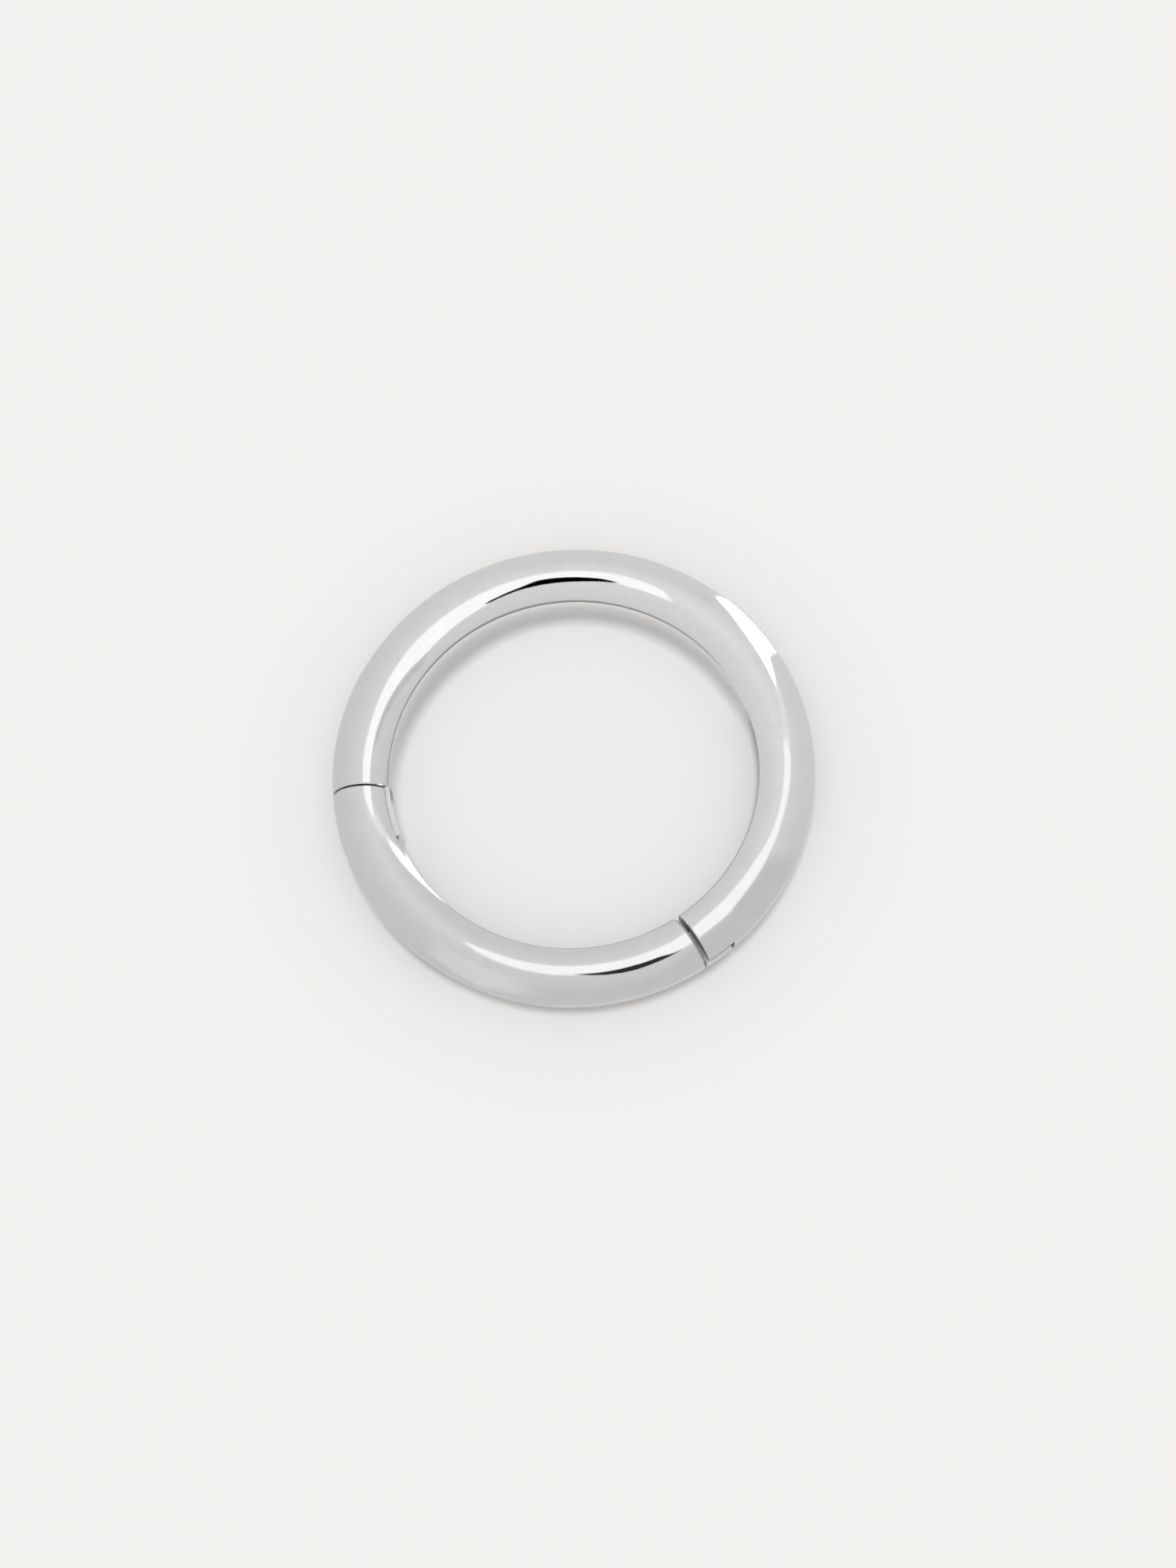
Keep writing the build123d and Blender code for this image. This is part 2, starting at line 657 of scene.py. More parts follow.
@dataclass
class LongArc:
    """The fixed arc, from the clasp seam the long way round to the hinge seam."""

    wire: WireRing
    hinge: Hinge
    clasp: Clasp
    finish: Finish

    def tongue_tip(self, out: np.ndarray) -> np.ndarray:
        """Ring angle of the tongue's tip at each outward distance.

        Formula: inward of the pin's axis the tip is square across the wire; outward of it
        the tip is a cylinder about the pin.

        Args:
            out: outward distance of each place.

        Returns:
            One ring angle for each place.
        """
        w, h = self.wire, self.hinge
        seam = w.hinge_angle + 2 * math.pi
        square = np.full(out.shape, seam + along_wire(h.tongue_length, w.ring_radius))
        reach = h.tongue_length + h.end_gap / 2 - h.pin_from_seam
        angle = square
        for _ in range(w.cut_rounds):
            beyond = (w.ring_radius + out) * np.cos(angle - seam) - w.ring_radius
            beyond = np.clip(beyond - h.pin_outboard, 0.0, reach)
            length = h.pin_from_seam + np.sqrt(reach**2 - beyond**2)
            angle = seam + np.arcsin(length / (w.ring_radius + out))
        return np.where(out > h.pin_outboard, np.minimum(angle, square), square)

    def build(self) -> bpy.types.Object:
        """Builds the arc as one closed loft, its slot at one end and its tongue at the other.

        Formula: the loops run from the clasp's face to the tongue's tip. Between two loops
        at the same cut the faces form the flat wall where one section gives way to the
        next. The last loop is the tip's outline pressed flat on the middle plane, with the
        inner side's places drawn together one place in, so that the tip is covered.

        Returns:
            The finished object.
        """
        w, h, c = self.wire, self.hinge, self.clasp
        sections = Sections(w)
        pocket_split = math.asin(c.slot_half / w.wire_radius)
        tongue_split = math.asin(h.tongue_thickness / 2 / w.wire_radius)
        seam, far = w.clasp_angle, w.hinge_angle + 2 * math.pi
        back = -c.tab_inboard - c.side_gap
        pocket = sections.pocket(c.slot_half, back)
        face = sections.pocket(c.slot_half, back, w.wire_radius - w.edge_break)
        pocket_end = seam + along_wire(c.tab_length + c.end_gap, w.ring_radius)
        rings = [w.ring(face, w.cut_angle(seam, w.clasp_gap / 2, face[:, 0]))]
        start = w.cut_angle(seam, w.clasp_gap / 2 + w.edge_break, pocket[:, 0])
        rings += w.run(pocket, start, pocket_end, w.plate_loops)
        splits = (pocket_split, tongue_split)
        rings += sections.arm(pocket_end, splits, far, w.hinge_gap, w.edge_break)
        plate = sections.plate(h.tongue_thickness / 2, -w.wire_radius - h.tongue_proud)
        root = w.cut_angle(far, -w.hinge_gap / 2, plate[:, 0])
        tip = self.tongue_tip(plate[:, 0])
        rings += w.run(plate, root, tip, w.plate_loops)
        one_in = plate[sections.side_places + sections.crown_places - 1, 0]
        flat = np.stack([np.maximum(plate[:, 0], one_in), 0 * plate[:, 1]], -1)
        rings.append(w.ring(flat, tip))
        shell = Shell()
        index = shell.loft(np.array(rings))
        shell.cap(index[0])
        LOG.info("long arc: %d points", shell.count)
        mesh = bored(shell.mesh("long_arc"), w, h, h.bore_radius)
        return finished(mesh, w, "long_arc", self.finish, ("hoop_arc",))


@dataclass
class Gate:
    """The short hinged arc with its two ears and its clasp tab."""

    wire: WireRing
    hinge: Hinge
    clasp: Clasp
    finish: Finish
    ear_loops: int = 20

    def ear_front(self, out: np.ndarray, extra: float = 0.0) -> np.ndarray:
        """Ring angle at which an ear begins at each outward distance.

        Formula: inward of the pin's axis the face is flat, half the seam's gap past the
        seam; outward of it the face is a cylinder about the pin, so the distance along the
        wire is that of the pin less the root of the radius squared minus the offset squared.

        Args:
            out: outward distance of each place.
            extra: distance to move the face along the wire.

        Returns:
            One ring angle for each place.
        """
        w, h = self.wire, self.hinge
        radius = h.pin_from_seam - w.hinge_gap / 2
        angle = np.full(out.shape, w.hinge_angle)
        for _ in range(w.cut_rounds):
            turn = angle - w.hinge_angle
            beyond = (w.ring_radius + out) * np.cos(turn) - w.ring_radius - h.pin_outboard
            beyond = np.clip(beyond, 0.0, radius)
            length = h.pin_from_seam - np.sqrt(radius**2 - beyond**2) + extra
            angle = w.hinge_angle + np.arcsin(length / (w.ring_radius + out))
        return angle

    def ear(self, shell: Shell, sections: Sections, side: Side, end: float) -> np.ndarray:
        """Adds one ear as a loft that is open towards the rest of the gate.

        Formula: the section is the wire's arc above the slot closed by the slot's level
        face, and every place keeps its outward distance from the front to the slot's end.

        Args:
            shell: where the surface goes.
            sections: the section's places.
            side: which ear.
            end: ring angle of the slot's end.

        Returns:
            The row of points along the slot's end, from its outer side inward.
        """
        w, half = self.wire, self.hinge.slot_half
        split = math.asin(half / w.wire_radius)
        turn = np.linspace(split, math.pi - split, sections.crown_places + 1)
        rings = []
        for radius, extra in ((w.wire_radius - w.edge_break, 0.0), (w.wire_radius, w.edge_break)):
            out = radius * np.cos(turn)
            up = np.maximum(radius * np.sin(turn), half)
            front = self.ear_front(out, extra)
            outs = np.concatenate([out, out[::-1]])
            ups = side.value * np.concatenate([up, np.full(len(out), half)])
            section = np.stack([outs, ups], -1)
            fronts = np.concatenate([front, front[::-1]])
            rings += w.run(section, fronts, end, self.ear_loops if extra else 1)
        grid = np.array(rings)
        index = shell.loft(grid[:, :: side.value])
        n = len(turn)
        shell.bridge(index[0][n:][::-1], index[0][:n])
        return index[-1][n:][::-1] if side is Side.UPPER else index[-1][:n]

    def build(self) -> bpy.types.Object:
        """Builds the gate: a loft from the slot's end to the tab's tip, and two ears.

        Formula: the first loop is closed by a flat wall, the slot's end, whose outline is
        the loop's outer and inner sides and the rows in which the two ears end.

        Returns:
            The finished object.
        """
        w, h, c = self.wire, self.hinge, self.clasp
        sections = Sections(w)
        slot_split = math.asin(h.slot_half / w.wire_radius)
        tab_split = math.asin(c.tab_thickness / 2 / w.wire_radius)
        slot_end = w.hinge_angle + along_wire(h.tongue_length + h.end_gap, w.ring_radius)
        seam = w.clasp_angle
        tip = seam + along_wire(c.tab_length, w.ring_radius)
        splits = (slot_split, tab_split)
        rings = sections.arm(slot_end, splits, seam, w.clasp_gap, w.worn_break)
        plate = sections.plate(c.tab_thickness / 2, -c.tab_inboard)
        root = w.cut_angle(seam, -w.clasp_gap / 2, plate[:, 0])
        rings += w.run(plate, root, tip, w.plate_loops)
        shell = Shell()
        index = shell.loft(np.array(rings))
        shell.cap(index[-1][::-1])
        upper, lower = (self.ear(shell, sections, side, slot_end) for side in Side)
        s, n = sections.side_places, sections.crown_places
        outer, inner = index[0][: s + 1], index[0][s + n : 2 * s + n + 1]
        shell.cap(np.concatenate([outer, upper, inner, lower[::-1]]))
        LOG.info("gate: %d points", shell.count)
        mesh = bored(shell.mesh("gate"), w, h, h.pin_radius + h.pin_line)
        return finished(mesh, w, "gate", self.finish, ("gate_arc",))


@dataclass
class HingePin:
    """The pin across both ears, its ends dressed flush with the round wire."""

    wire: WireRing
    hinge: Hinge
    finish: Finish
    end_loops: int = 9

    def build(self) -> bpy.types.Object:
        """Builds the pin.

        Formula: circles about the pin's axis whose height follows the wire's own skin, from
        the middle of its lower end outward, up the side and in again to the middle of its
        upper end.

        Returns:
            The finished object.
        """
        w, h = self.wire, self.hinge
        shares = np.linspace(0.0, 1.0, self.end_loops)
        rings = []
        for side, radii in ((Side.LOWER, shares), (Side.UPPER, shares[::-1])):
            rings += [pin_ring(w, h, share * h.pin_radius, side) for share in radii]
        shell = Shell()
        shell.loft(np.array(rings)[:, ::-1])
        LOG.info("hinge pin: %d points", shell.count)
        return finished(shell.mesh("pin"), w, "pin", self.finish, ("hinge_pin",))


def pin_ring(
    wire: WireRing, hinge: Hinge, radius: float, side: Side, rise: float | None = None
) -> np.ndarray:
    """Circle about the pin's axis, on the wire's skin or at a given rise.

    Formula: on the skin, a place's rise is the root of the wire's radius squared minus the
    square of its distance outward of the centreline.

    Args:
        wire: the ring.
        hinge: where the axis is.
        radius: the circle's radius, in millimetres.
        side: above or below the ring's middle plane.
        rise: distance from that plane, or None for the skin.

    Returns:
        Points in metres.
    """
    turn = np.linspace(0, 2 * math.pi, hinge.pin_places, endpoint=False)
    x = -wire.ring_radius - hinge.pin_outboard + radius * np.cos(turn)
    y = -hinge.pin_from_seam + radius * np.sin(turn)
    out = np.hypot(x, y) - wire.ring_radius
    up = np.sqrt(wire.wire_radius**2 - out**2) if rise is None else rise + 0 * out
    return np.stack([x, y, wire.wire_radius + side.value * up], -1) * MM


def bored(
    mesh: bpy.types.Mesh, wire: WireRing, hinge: Hinge, radius: float
) -> bpy.types.Mesh:
    """Bores a mesh through along the hinge's axis.

    Args:
        mesh: the closed mesh.
        wire: the ring that it belongs to.
        hinge: where the axis is.
        radius: the bore's radius, in millimetres.

    Returns:
        The bored mesh.
    """
    drill = Shell()
    reach = 2 * wire.wire_radius
    ends = [pin_ring(wire, hinge, radius, side, reach) for side in (Side.LOWER, Side.UPPER)]
    index = drill.loft(np.array(ends)[:, ::-1])
    drill.cap(index[0])
    drill.cap(index[1][::-1])
    body, tool = linked("body", mesh), linked("drill", drill.mesh("drill"))
    cut = body.modifiers.new("bore", "BOOLEAN")
    cut.operation = "DIFFERENCE"
    cut.solver = "EXACT"
    cut.object = tool
    bpy.context.view_layer.update()
    ready = body.evaluated_get(bpy.context.evaluated_depsgraph_get())
    result = bpy.data.meshes.new_from_object(ready)
    result.name = mesh.name
    for item in (body, tool):
        bpy.data.objects.remove(item)
    return result


def finished(
    mesh: bpy.types.Mesh,
    wire: WireRing,
    name: str,
    finish: Finish,
    nodes: Sequence[str],
) -> bpy.types.Object:
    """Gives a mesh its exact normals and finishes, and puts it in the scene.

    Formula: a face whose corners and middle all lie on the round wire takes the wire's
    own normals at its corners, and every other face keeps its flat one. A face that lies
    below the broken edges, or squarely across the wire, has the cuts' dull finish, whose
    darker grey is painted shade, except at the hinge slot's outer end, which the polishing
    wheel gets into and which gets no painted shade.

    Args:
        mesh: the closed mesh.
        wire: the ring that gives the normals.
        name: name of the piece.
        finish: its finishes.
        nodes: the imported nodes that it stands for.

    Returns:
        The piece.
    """
    points = read(mesh.vertices, "co", 3)
    corner = read(mesh.loops, "vertex_index", kind=int)
    sizes = read(mesh.polygons, "loop_total", kind=int)
    flat, middle = read(mesh.polygons, "normal", 3), read(mesh.polygons, "center", 3)
    depth = wire.depth(middle)
    owner = np.repeat(np.arange(len(sizes)), sizes)
    off_skin = np.abs(wire.depth(points)) > ON_SKIN
    touching = np.bincount(owner, weights=off_skin[corner], minlength=len(sizes)) == 0
    skin = touching & (np.abs(depth) < 2 * ON_SKIN)
    exact = wire.skin_normals(points)[corner]
    mesh.polygons.foreach_set("use_smooth", np.ones(len(sizes), bool))
    mesh.normals_split_custom_set(np.where(skin[owner, None], exact, flat[owner]).tolist())
    piece = linked(name, mesh)
    mesh.materials.clear()
    mesh.materials.append(finish.outside)
    mesh.materials.append(finish.shaded_cuts)
    # The dull cut finish, with its darker grey as painted shade in the seams and slots, goes on
    # faces across the wire or below the broken edges.
    across = wire.crosswise(middle, flat) > CROSSWISE
    below = depth > POLISHED_AND_UNSHADED * wire.edge_break
    cut = (below | across) & ~wire.slot_end_outside(middle)
    mesh.polygons.foreach_set("material_index", cut.astype(int))
    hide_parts(*nodes)
    return piece


@dataclass(frozen=True)
class Patch:
    """A soft-edged tone on the light tent: a painted highlight or painted reflection that the
    polish shows.

    The fade is the width of its soft edge in millimetres. Its outline gives ring angles in
    degrees and distances round the tent's section, in millimetres from the foot of the
    inner wall.
    """

    tone: float
    fade: float
    outline: tuple[tuple[float, float], ...]

    def cover(self, angle: np.ndarray, way: np.ndarray, radius: float) -> np.ndarray:
        """How much of the patch's tone each point takes.

        Formula: the distance to the nearest side of the outline, counted as positive
        inside it, is divided by the fade's width and goes through a smooth step.

        Args:
            angle: ring angle of each point, in degrees.
            way: distance round the tent's section.
            radius: ring radius that turns angles into lengths.

        Returns:
            A share between 0 and 1 for each point.
        """
        scale = math.radians(1.0) * radius
        outline = np.array(self.outline)
        middle = outline[:, 0].mean()
        turned = (angle - middle + 180.0) % 360.0 - 180.0 + middle
        x, y = (turned * scale).ravel()[:, None], way.ravel()[:, None]
        ax, ay = outline[:, 0] * scale, outline[:, 1]
        bx, by = np.roll(ax, -1), np.roll(ay, -1)
        dx, dy = bx - ax, by - ay
        share = np.clip(((x - ax) * dx + (y - ay) * dy) / (dx**2 + dy**2), 0.0, 1.0)
        near = np.hypot(x - ax - share * dx, y - ay - share * dy).min(axis=1)
        crossed = ((ay > y) != (by > y)) & (x < ax + (y - ay) * dx / np.where(dy == 0, 1, dy))
        inside = crossed.sum(axis=1) % 2 == 1
        t = np.clip(0.5 + np.where(inside, near, -near) / self.fade, 0.0, 1.0)
        return (t * t * (3 - 2 * t)).reshape(angle.shape)


@dataclass(frozen=True)
class LightTent:
    """A square tunnel of light round the wire, seen only in its polish.

    Its sizes are in millimetres. The foot is the strip of floor that it covers at either
    side, the tones go by the distance round its section, and the thrown tone is the light
    that it gives the floor by way of the polish.
    """

    inner_radius: float = 3.2
    outer_radius: float = 6.2
    height: float = 2.1
    foot: float = 1.35
    middle_radius: float = 4.6
    sink: float = 0.004
    way_places: int = 200
    turn_step: float = 0.75
    tones: tuple[tuple[float, float], ...] = (
        (-1.35, 0.67), (-0.5, 0.69), (0.0, 0.72), (1.0, 0.757), (2.0, 0.795), (2.6, 0.84),
        (3.1, 0.84), (3.6, 0.79), (4.2, 0.755), (5.0, 0.735), (7.2, 0.70), (8.6, 0.68),
    )
    bright_side: float = math.radians(55.0)
    side_change: float = 0.045
    thrown_tone: float = 0.27
    patches: tuple[Patch, ...] = ()
    thrown_patches: tuple[Patch, ...] = ()

    def painted(
        self, tone: np.ndarray, patches: Sequence[Patch], angle: np.ndarray, way: np.ndarray
    ) -> np.ndarray:
        """Mixes patches into a tone, one after the other, each by its cover.

        Args:
            tone: the tone at each place.
            patches: the patches, the lowest one first.
            angle: ring angle of each place, in radians.
            way: distance round the tent's section.

        Returns:
            The new tone at each place.
        """
        for patch in patches:
            cover = patch.cover(np.degrees(angle), way, self.middle_radius)
            tone = tone * (1 - cover) + patch.tone * cover
        return tone

    def build(self) -> bpy.types.Object:
        """Builds the tent.

        Formula: a square profile, from the floor inside the ring up the inner wall, over
        the roof and down the outer wall to the floor again, is carried round the ring. Its
        tone is the walls' own grey, a little lighter towards one side by the cosine of the
        angle from it, with each patch mixed in by its cover.

        Returns:
            The tent, facing the wire.
        """
        i, o, f, h = self.inner_radius, self.outer_radius, self.foot, self.height
        corners = np.cumsum([-f, f, h, o - i, h, f])
        way = np.linspace(corners[0], corners[-1], self.way_places)
        reach = np.interp(way, corners, [i + f, i, i, o, o, o - f])
        rise = np.interp(way, corners, [0, 0, h, h, 0, 0]) - self.sink
        turn = np.radians(np.arange(0, 360, self.turn_step))
        angle, away = np.meshgrid(turn, reach, indexing="ij")
        height = np.broadcast_to(rise, angle.shape)
        points = np.stack([away * np.cos(angle), away * np.sin(angle), height], -1) * MM
        index = np.arange(angle.size).reshape(angle.shape)
        after = np.roll(index, -1, axis=0)
        quads = np.stack(
            [index[:, :-1], after[:, :-1], after[:, 1:], index[:, 1:]], -1
        ).reshape(-1, 4)
        mesh = bpy.data.meshes.new("light tent")
        mesh.from_pydata(points.reshape(-1, 3).tolist(), [], quads.tolist())
        ways = np.broadcast_to(way, angle.shape)
        tone = np.interp(ways, *zip(*self.tones))
        tone = tone + self.side_change * np.cos(angle - self.bright_side)
        tone = self.painted(tone, self.patches, angle, ways)
        thrown = np.full(angle.shape, self.thrown_tone)
        thrown = self.painted(thrown, self.thrown_patches, angle, ways)
        for name, values in (("tone", tone), ("thrown", thrown)):
            mesh.attributes.new(name, "FLOAT", "POINT").data.foreach_set("value", values.ravel())
        mesh.materials.append(self.material())
        tent = linked("light tent", mesh)
        hide(tent, "camera", "diffuse", "shadow", "transmission", "volume_scatter")
        return tent

    def material(self) -> bpy.types.Material:
        """Glows with its tone towards the wire and is clear from behind.

        Formula: the polish itself shows the tone, and the light that it throws on the floor
        is the other value, so that the wire can shade the floor as the real one does.

        Returns:
            The tent's material.
        """
        nodes = Nodes.of_material("tent")
        tone, thrown = (
            nodes.add("ShaderNodeAttribute", {"attribute_name": name})["Fac"]
            for name in ("tone", "thrown")
        )
        bounces = nodes.add("ShaderNodeLightPath")["Diffuse Depth"]
        floor = nodes.add("ShaderNodeMath", {"operation": "MINIMUM"}, {0: bounces, 1: 1.0})
        strength = tone + (thrown - tone) * floor["Value"]
        behind = nodes.add("ShaderNodeNewGeometry")["Backfacing"]
        glow = nodes.add("ShaderNodeEmission", {}, {"Color": strength})["Emission"]
        clear = nodes.add("ShaderNodeBsdfTransparent")["BSDF"]
        mix = nodes.add("ShaderNodeMixShader", {}, {0: behind, 1: glow, 2: clear})["Shader"]
        material = nodes.surface(mix)
        material.cycles.emission_sampling = "NONE"
        return material


# Painted highlights and painted reflections on the light tent, seen only in the polish: the white,
# soft and floor patches and the streak are painted highlights, the contact patches paint the
# reflection of the contact shadow on the floor, and the black, arch, wedge, dusk, foot and edge
# patches are painted darker or lighter reflections.
WHITE_TOP = Patch(1.2, 0.22, (
    (57, 2.3), (57, 2.75), (58.5, 2.95), (62, 3.08), (66, 3.15), (75, 3.2), (90, 3.16),
    (105, 3.10), (115, 3.05), (130, 3.05), (145, 3.0), (155, 2.95), (160, 2.95), (170, 3.03),
    (176, 2.98), (180, 2.85), (182, 2.6), (182, 2.2), (176, 2.1), (165, 2.0), (155, 1.9),
    (148, 1.75), (142, 1.55), (137, 1.35), (133, 1.15), (130, 1.08), (125, 1.1), (120, 1.18),
    (113, 1.3), (108, 1.42), (104, 1.75), (98, 2.0), (90, 2.2), (75, 2.25), (70, 2.02),
    (60, 2.0),
))
BLACK_TOP = Patch(0.0, 0.07, (
    (72, 2.27), (73.5, 2.41), (76, 2.49), (84, 2.53), (92, 2.57), (94, 2.5), (96, 2.31),
    (98, 2.1), (101, 1.93), (104, 1.82), (108, 1.66), (108.3, 1.54), (107, 1.48), (103, 1.59),
    (99, 1.69), (94, 1.73), (88, 1.76), (83, 1.8), (79, 1.91), (75, 2.08),
))
STREAK_LEFT = Patch(1.3, 0.2, (
    (190, 1.38), (191, 1.1), (193, 0.8), (195, 0.4), (196, 0.1), (197, -0.2), (198, -0.5),
    (200, -1.3), (221, -1.3), (219.5, -0.65), (216.5, -0.35), (213, -0.05), (209, 0.33),
    (205, 0.7), (200, 1.05), (194, 1.35),
))
WHITE_BOTTOM = Patch(1.15, 0.24, (
    (231.5, 3.0), (233, 3.14), (237, 3.3), (242, 3.42), (250, 3.52), (258, 3.59), (264, 3.6),
    (272, 3.6), (289, 3.7), (290, 3.8), (293, 3.86), (299, 3.8), (304, 3.76), (309, 3.8),
    (312, 3.7), (316, 3.62), (325, 3.61), (330, 3.6), (340, 3.6), (348, 3.68), (356, 3.72),
    (361, 3.62), (361, 3.2), (350, 3.13), (342, 3.14), (336, 3.1), (331, 2.95), (326, 2.7),
    (318, 2.6), (308, 2.56), (302, 2.65), (292, 2.86), (280, 2.8), (270, 2.73), (260, 2.76),
    (250, 2.76), (240, 2.74), (233, 2.84),
))
BLACK_BOTTOM = Patch(0.03, 0.06, (
    (263.5, 3.53), (267, 3.52), (272, 3.54), (280, 3.56), (287, 3.61), (289, 3.73),
    (291, 3.84), (293, 3.88), (293, 3.9), (291, 3.92), (289.4, 3.93), (287, 3.94), (282, 3.97),
    (277, 3.93), (272, 3.81), (267, 3.64),
))
WHITE_RIGHT = Patch(1.6, 0.12, (
    (16.5, 3.92), (18, 4.15), (20.5, 4.5), (23, 4.85), (25, 5.2), (25.5, 5.6), (25.5, 6.5),
    (26, 6.9), (26.5, 7.2), (44, 7.2), (44.5, 6.8), (45.5, 6.3), (45.8, 5.8), (44.5, 5.5),
    (42, 5.15), (40, 4.88), (38, 4.62), (35, 4.33), (31, 4.12), (25, 3.99), (20, 3.9),
))
SOFT_RIGHT = Patch(0.93, 0.4, (
    (0, 3.2), (0, 3.75), (6, 3.85), (12, 4.02), (17, 4.2), (19, 3.9), (10, 3.55),
))
SOFT_LEFT = Patch(0.93, 0.45, (
    (176, 2.1), (178, 3.0), (184, 2.9), (187, 2.0), (191, 1.4), (190, 1.1), (184, 1.5),
))
FLOOR_TOP = Patch(0.9, 0.9, ((46, 6.9), (46, 8.6), (142, 8.6), (142, 7.3), (110, 7.1), (80, 6.8)))
CONTACT_SHADOW_TOP = Patch(0.32, 0.16, (
    (15, -1.3), (22, -0.9), (35, -0.68), (50, -0.64), (70, -0.62), (85, -0.60), (95, -0.59),
    (105, -0.58), (115, -0.59), (125, -0.6), (135, -0.61), (145, -0.63), (155, -0.63),
    (165, -0.62), (173, -0.6), (180, -0.6), (183, -0.9), (183, -2.0), (15, -2.0),
))
ARCH_LEFT = Patch(0.6, 0.3, (
    (158, -0.95), (165, -0.4), (170, 0.0), (175, 0.3), (181, 0.4), (188, 0.28), (193, -0.05),
    (196, -0.45), (198, -0.9), (192, -0.9), (188, -0.35), (183, -0.15), (178, -0.35),
    (174, -0.95),
))
WEDGE_LEFT = Patch(0.64, 0.3, (
    (131, 0.95), (137, 1.2), (142, 1.42), (150, 1.7), (162, 1.88), (160, 1.5), (150, 1.15),
    (141, 0.8), (133, 0.55),
))
WEDGE_RIGHT = Patch(0.64, 0.5, ((311, 3.75), (327, 3.7), (328, 5.6), (312, 5.6)))
FOOT_BOTTOM = Patch(0.64, 0.6, ((262, -1.3), (268, 0.1), (300, 0.3), (340, -0.2), (352, -1.3)))
SOFT_TOP = Patch(0.755, 0.8, ((42, 3.95), (42, 5.3), (100, 5.3), (100, 3.95)))
SOFT_BOTTOM = Patch(0.79, 0.9, ((226, 4.1), (250, 4.3), (252, 6.2), (240, 7.2), (226, 6.2)))
DUSK_BOTTOM = Patch(0.65, 0.8, (
    (256, 5.5), (270, 5.2), (285, 5.6), (294, 4.6), (300, 3.9), (318, 3.9), (328, 4.2),
    (334, 8.6), (254, 8.6),
))
EDGE_BOTTOM = Patch(0.7, 0.4, ((258, 7.7), (258, 9.0), (332, 9.0), (332, 7.7)))
CONTACT_SHADOW_BOTTOM = Patch(0.36, 0.14, (
    (212, -0.6), (220, -0.42), (240, -0.36), (270, -0.33), (300, -0.34), (330, -0.38),
    (350, -0.46), (365, -0.6), (375, -0.8), (375, -2.0), (212, -2.0),
))
# Painted pools of light that the tent throws on the floor beside the wire, by way of the polish.
THROWN_INWARD = Patch(2.35, 0.3, ((12, -1.5), (12, -0.85), (200, -0.85), (200, -1.5)))
THROWN_OUTWARD = Patch(0.9, 0.5, ((232, 8.8), (232, 7.75), (340, 7.75), (340, 8.8)))
THROWN_PATCHES = (THROWN_INWARD, THROWN_OUTWARD)
TENT_PATCHES = (
    FLOOR_TOP,
    SOFT_TOP,
    SOFT_BOTTOM,
    DUSK_BOTTOM,
    EDGE_BOTTOM,
    SOFT_RIGHT,
    SOFT_LEFT,
    WEDGE_LEFT,
    WEDGE_RIGHT,
    FOOT_BOTTOM,
    ARCH_LEFT,
    CONTACT_SHADOW_TOP,
    CONTACT_SHADOW_BOTTOM,
    WHITE_TOP,
    BLACK_TOP,
    STREAK_LEFT,
    WHITE_BOTTOM,
    BLACK_BOTTOM,
    WHITE_RIGHT,
)


@dataclass(frozen=True)
class Lamp:
    """A far soft lamp, given by its share of the floor's light and where it stands."""

    share: float = 0.36
    lean: float = math.radians(2.2)
    azimuth: float = math.radians(100.0)
    size: float = math.radians(17.0)

    def build(self) -> None:
        """Hangs the lamp, turned towards the ring and unseen in its polish.

        Formula: its strength is its share times pi, over the cosine of its lean, so that a
        level white floor under it gives back just that share.
        """
        light = bpy.data.lights.new("overhead lamp", "SUN")
        light.energy = self.share * math.pi / math.cos(self.lean)
        light.angle = self.size
        lamp = linked("overhead lamp", light)
        side = math.sin(self.lean)
        toward = Vector(
            (side * math.cos(self.azimuth), side * math.sin(self.azimuth), math.cos(self.lean))
        )
        lamp.rotation_mode = "QUATERNION"
        lamp.rotation_quaternion = toward.to_track_quat("Z", "Y")
        hide(lamp, "glossy")


@dataclass(frozen=True)
class Flag:
    """A crescent held over the floor that keeps the lamp off a band beside the wire.

    Its inner edge gives ring angles in degrees and ring radii in millimetres.
    """

    edge: tuple[tuple[float, float], ...] = (
        (8, 4.02), (16, 3.92), (24, 3.85), (40, 3.80), (55, 3.77), (83, 3.77), (111, 3.74),
        (126, 3.72), (141, 3.76), (156, 3.84), (164, 3.89), (171, 3.93), (178, 3.97),
        (186, 4.02), (192, 4.08),
    )
    outer_radius: float = 4.45
    height: float = 1.1
    step: float = 2.0

    def build(self) -> None:
        """Hangs the flag, which only casts a shadow and isn't seen.

        Formula: a flat strip at one height, between the inner edge's radius at each ring
        angle, read off in even steps, and the outer radius.
        """
        angle = np.arange(self.edge[0][0], self.edge[-1][0] + self.step, self.step)
        turn = np.radians(angle)
        near = np.interp(angle, *zip(*self.edge))
        rows = [
            np.stack([r * np.cos(turn), r * np.sin(turn), 0 * r + self.height], -1) * MM
            for r in (near, np.full(angle.shape, self.outer_radius))
        ]
        one = np.arange(len(angle))
        other = one + len(angle)
        quads = np.stack([one[:-1], other[:-1], other[1:], one[1:]], -1)
        mesh = bpy.data.meshes.new("flag")
        mesh.from_pydata(np.concatenate(rows).tolist(), [], quads.tolist())
        flag = linked("flag", mesh)
        hide(flag, "camera", "diffuse", "glossy", "transmission")


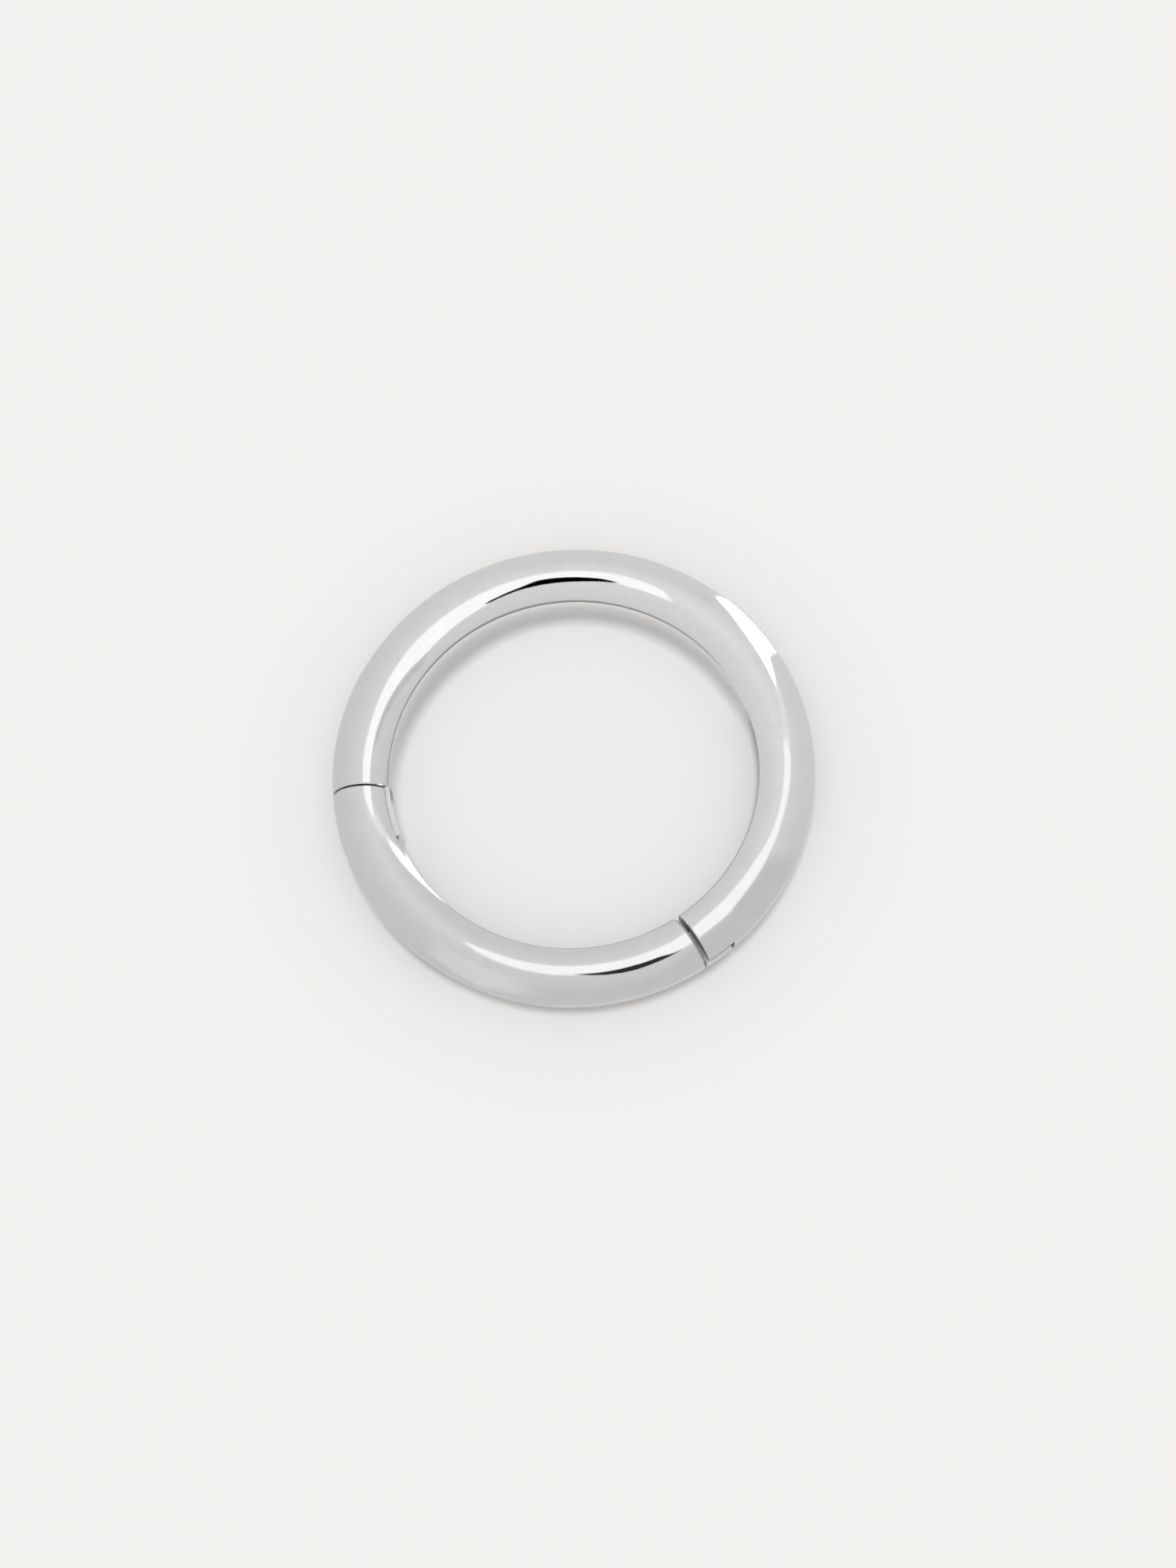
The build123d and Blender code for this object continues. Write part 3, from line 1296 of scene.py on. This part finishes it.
@dataclass
class Studio:
    """Pale floor, the surroundings, a soft lamp with its flag, and the light tent.

    The dome is the even light that the floor gets from all round, and the room gives the
    tones that the polish shows past the tent, by the height of their direction.
    """

    floor_colour: tuple[float, float, float] = (0.905, 0.888, 0.871)
    floor_roughness: float = 0.6
    floor_half: float = 0.6
    dome: float = 0.637
    room: tuple[tuple[float, float], ...] = (
        (-0.05, 0.72), (0.05, 0.45), (0.2, 0.45), (0.35, 0.66), (0.6, 0.78), (0.66, 1.25),
        (0.86, 1.25), (0.9, 0.82),
    )

    def floor(self) -> None:
        """Lays the floor: one square just below the wire."""
        half = self.floor_half
        mesh = bpy.data.meshes.new("floor")
        corners = [(-half, -half, 0), (half, -half, 0), (half, half, 0), (-half, half, 0)]
        mesh.from_pydata(corners, [], [(0, 1, 2, 3)])
        floor = linked("floor", mesh)
        nodes = Nodes.of_material("pale floor")
        shader = nodes.add(
            "ShaderNodeBsdfPrincipled",
            {},
            {
                "Base Color": (*self.floor_colour, 1.0),
                "Roughness": self.floor_roughness,
                "Specular IOR Level": 0.0,
            },
        )["BSDF"]
        mesh.materials.append(nodes.surface(shader))
        hide(floor, "glossy")

    def surroundings(self) -> None:
        """Sets the room: floor grey to the camera, even to the floor, shaped to the polish.

        Formula: the room's tone follows the height of the direction, from the floor's grey
        through a darker skirting and grey walls to a white softbox round a grey middle.
        """
        world = bpy.data.worlds.new("surroundings")
        bpy.context.scene.world = world
        world.use_nodes = True
        world.cycles.sampling_method = "NONE"
        nodes = Nodes(world.node_tree)
        path = nodes.add("ShaderNodeLightPath")
        place = nodes.add("ShaderNodeTexCoord")["Generated"]
        rise = nodes.add("ShaderNodeSeparateXYZ", {}, {"Vector": place})["Z"]
        room = self.room[0][1]
        for (low, before), (high, after) in zip(self.room[:-1], self.room[1:]):
            step = nodes.add(
                "ShaderNodeMapRange",
                {"interpolation_type": "SMOOTHSTEP"},
                {"Value": rise, "From Min": low, "From Max": high},
            )["Result"]
            room = room + step * (after - before)
        felt = self.dome + (room - self.dome) * path["Is Glossy Ray"]
        light = nodes.add("ShaderNodeBackground", {}, {"Color": felt})["Background"]
        seen = nodes.add("ShaderNodeBackground", {}, {"Color": (*self.floor_colour, 1.0)})
        mix = nodes.add(
            "ShaderNodeMixShader", {}, {0: path["Is Camera Ray"], 1: light, 2: seen["Background"]}
        )
        nodes.add("ShaderNodeOutputWorld", {}, {"Surface": mix["Shader"]})

    def build(self) -> None:
        """Builds the whole studio."""
        self.floor()
        self.surroundings()
        Lamp().build()
        Flag().build()
        LightTent(patches=TENT_PATCHES, thrown_patches=THROWN_PATCHES).build()
        bpy.context.scene.view_settings.view_transform = "Standard"


@dataclass
class CloseCamera:
    """A close camera above the ring, placed where it sees the ring as in the picture."""

    place: tuple[float, float, float] = (0.38988, -10.63262, 29.71692)
    target: tuple[float, float, float] = (0.28735, -0.43337, 0.6)
    roll: float = math.radians(-7.798)
    focal_pixels: float = 1833.03
    long_side_pixels: float = 2000.0
    film_width: float = 36.0
    reach: tuple[float, float] = (0.0005, 5.0)

    def build(self) -> None:
        """Makes the camera and gives it to the scene.

        Formula: its back points from the target to its place, its right is level, and both
        right and up are then turned about the back by the roll.
        """
        data = bpy.data.cameras.new("close camera")
        data.sensor_fit = "AUTO"
        data.sensor_width = self.film_width
        data.lens = self.film_width * self.focal_pixels / self.long_side_pixels
        data.clip_start, data.clip_end = self.reach
        camera = linked("close camera", data)
        place = Vector(self.place) * MM
        back = (place - Vector(self.target) * MM).normalized()
        right = Vector((0, 0, 1)).cross(back).normalized()
        up = back.cross(right)
        c, s = math.cos(self.roll), math.sin(self.roll)
        axes = Matrix((c * right + s * up, -s * right + c * up, back))
        turn = axes.transposed().to_4x4()
        camera.matrix_world = Matrix.Translation(place) @ turn
        bpy.context.scene.camera = camera


def main() -> None:
    """Builds the earring, the studio and the camera in order."""
    logging.basicConfig(level=logging.INFO, format="%(name)s: %(message)s")
    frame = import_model()
    wire, hinge, clasp = WireRing(), Hinge(), Clasp()
    shaded_cuts = UnpolishedShadedSteel("shaded cut steel").material()
    hoop, gate, pin = (
        Finish(PolishedSteel(f"{name} steel").material(), shaded_cuts) for name in ("hoop", "gate", "pin")
    )
    parts = (
        (LongArc(wire, hinge, clasp, hoop), "hoop", "hoop_metal"),
        (Gate(wire, hinge, clasp, gate), "gate", "gate_metal"),
        (HingePin(wire, hinge, pin), "gate", "pin_metal"),
    )
    for part, body, slot in parts:
        piece = part.build()
        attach(piece, body)
        LOG.info("%s rides on %s", piece.name, body)
    for node in frame["nodes"].values():
        node.data.materials.clear()
        node.data.materials.append(hoop.outside)
    Studio().build()
    CloseCamera().build()


if __name__ == "__main__":
    main()
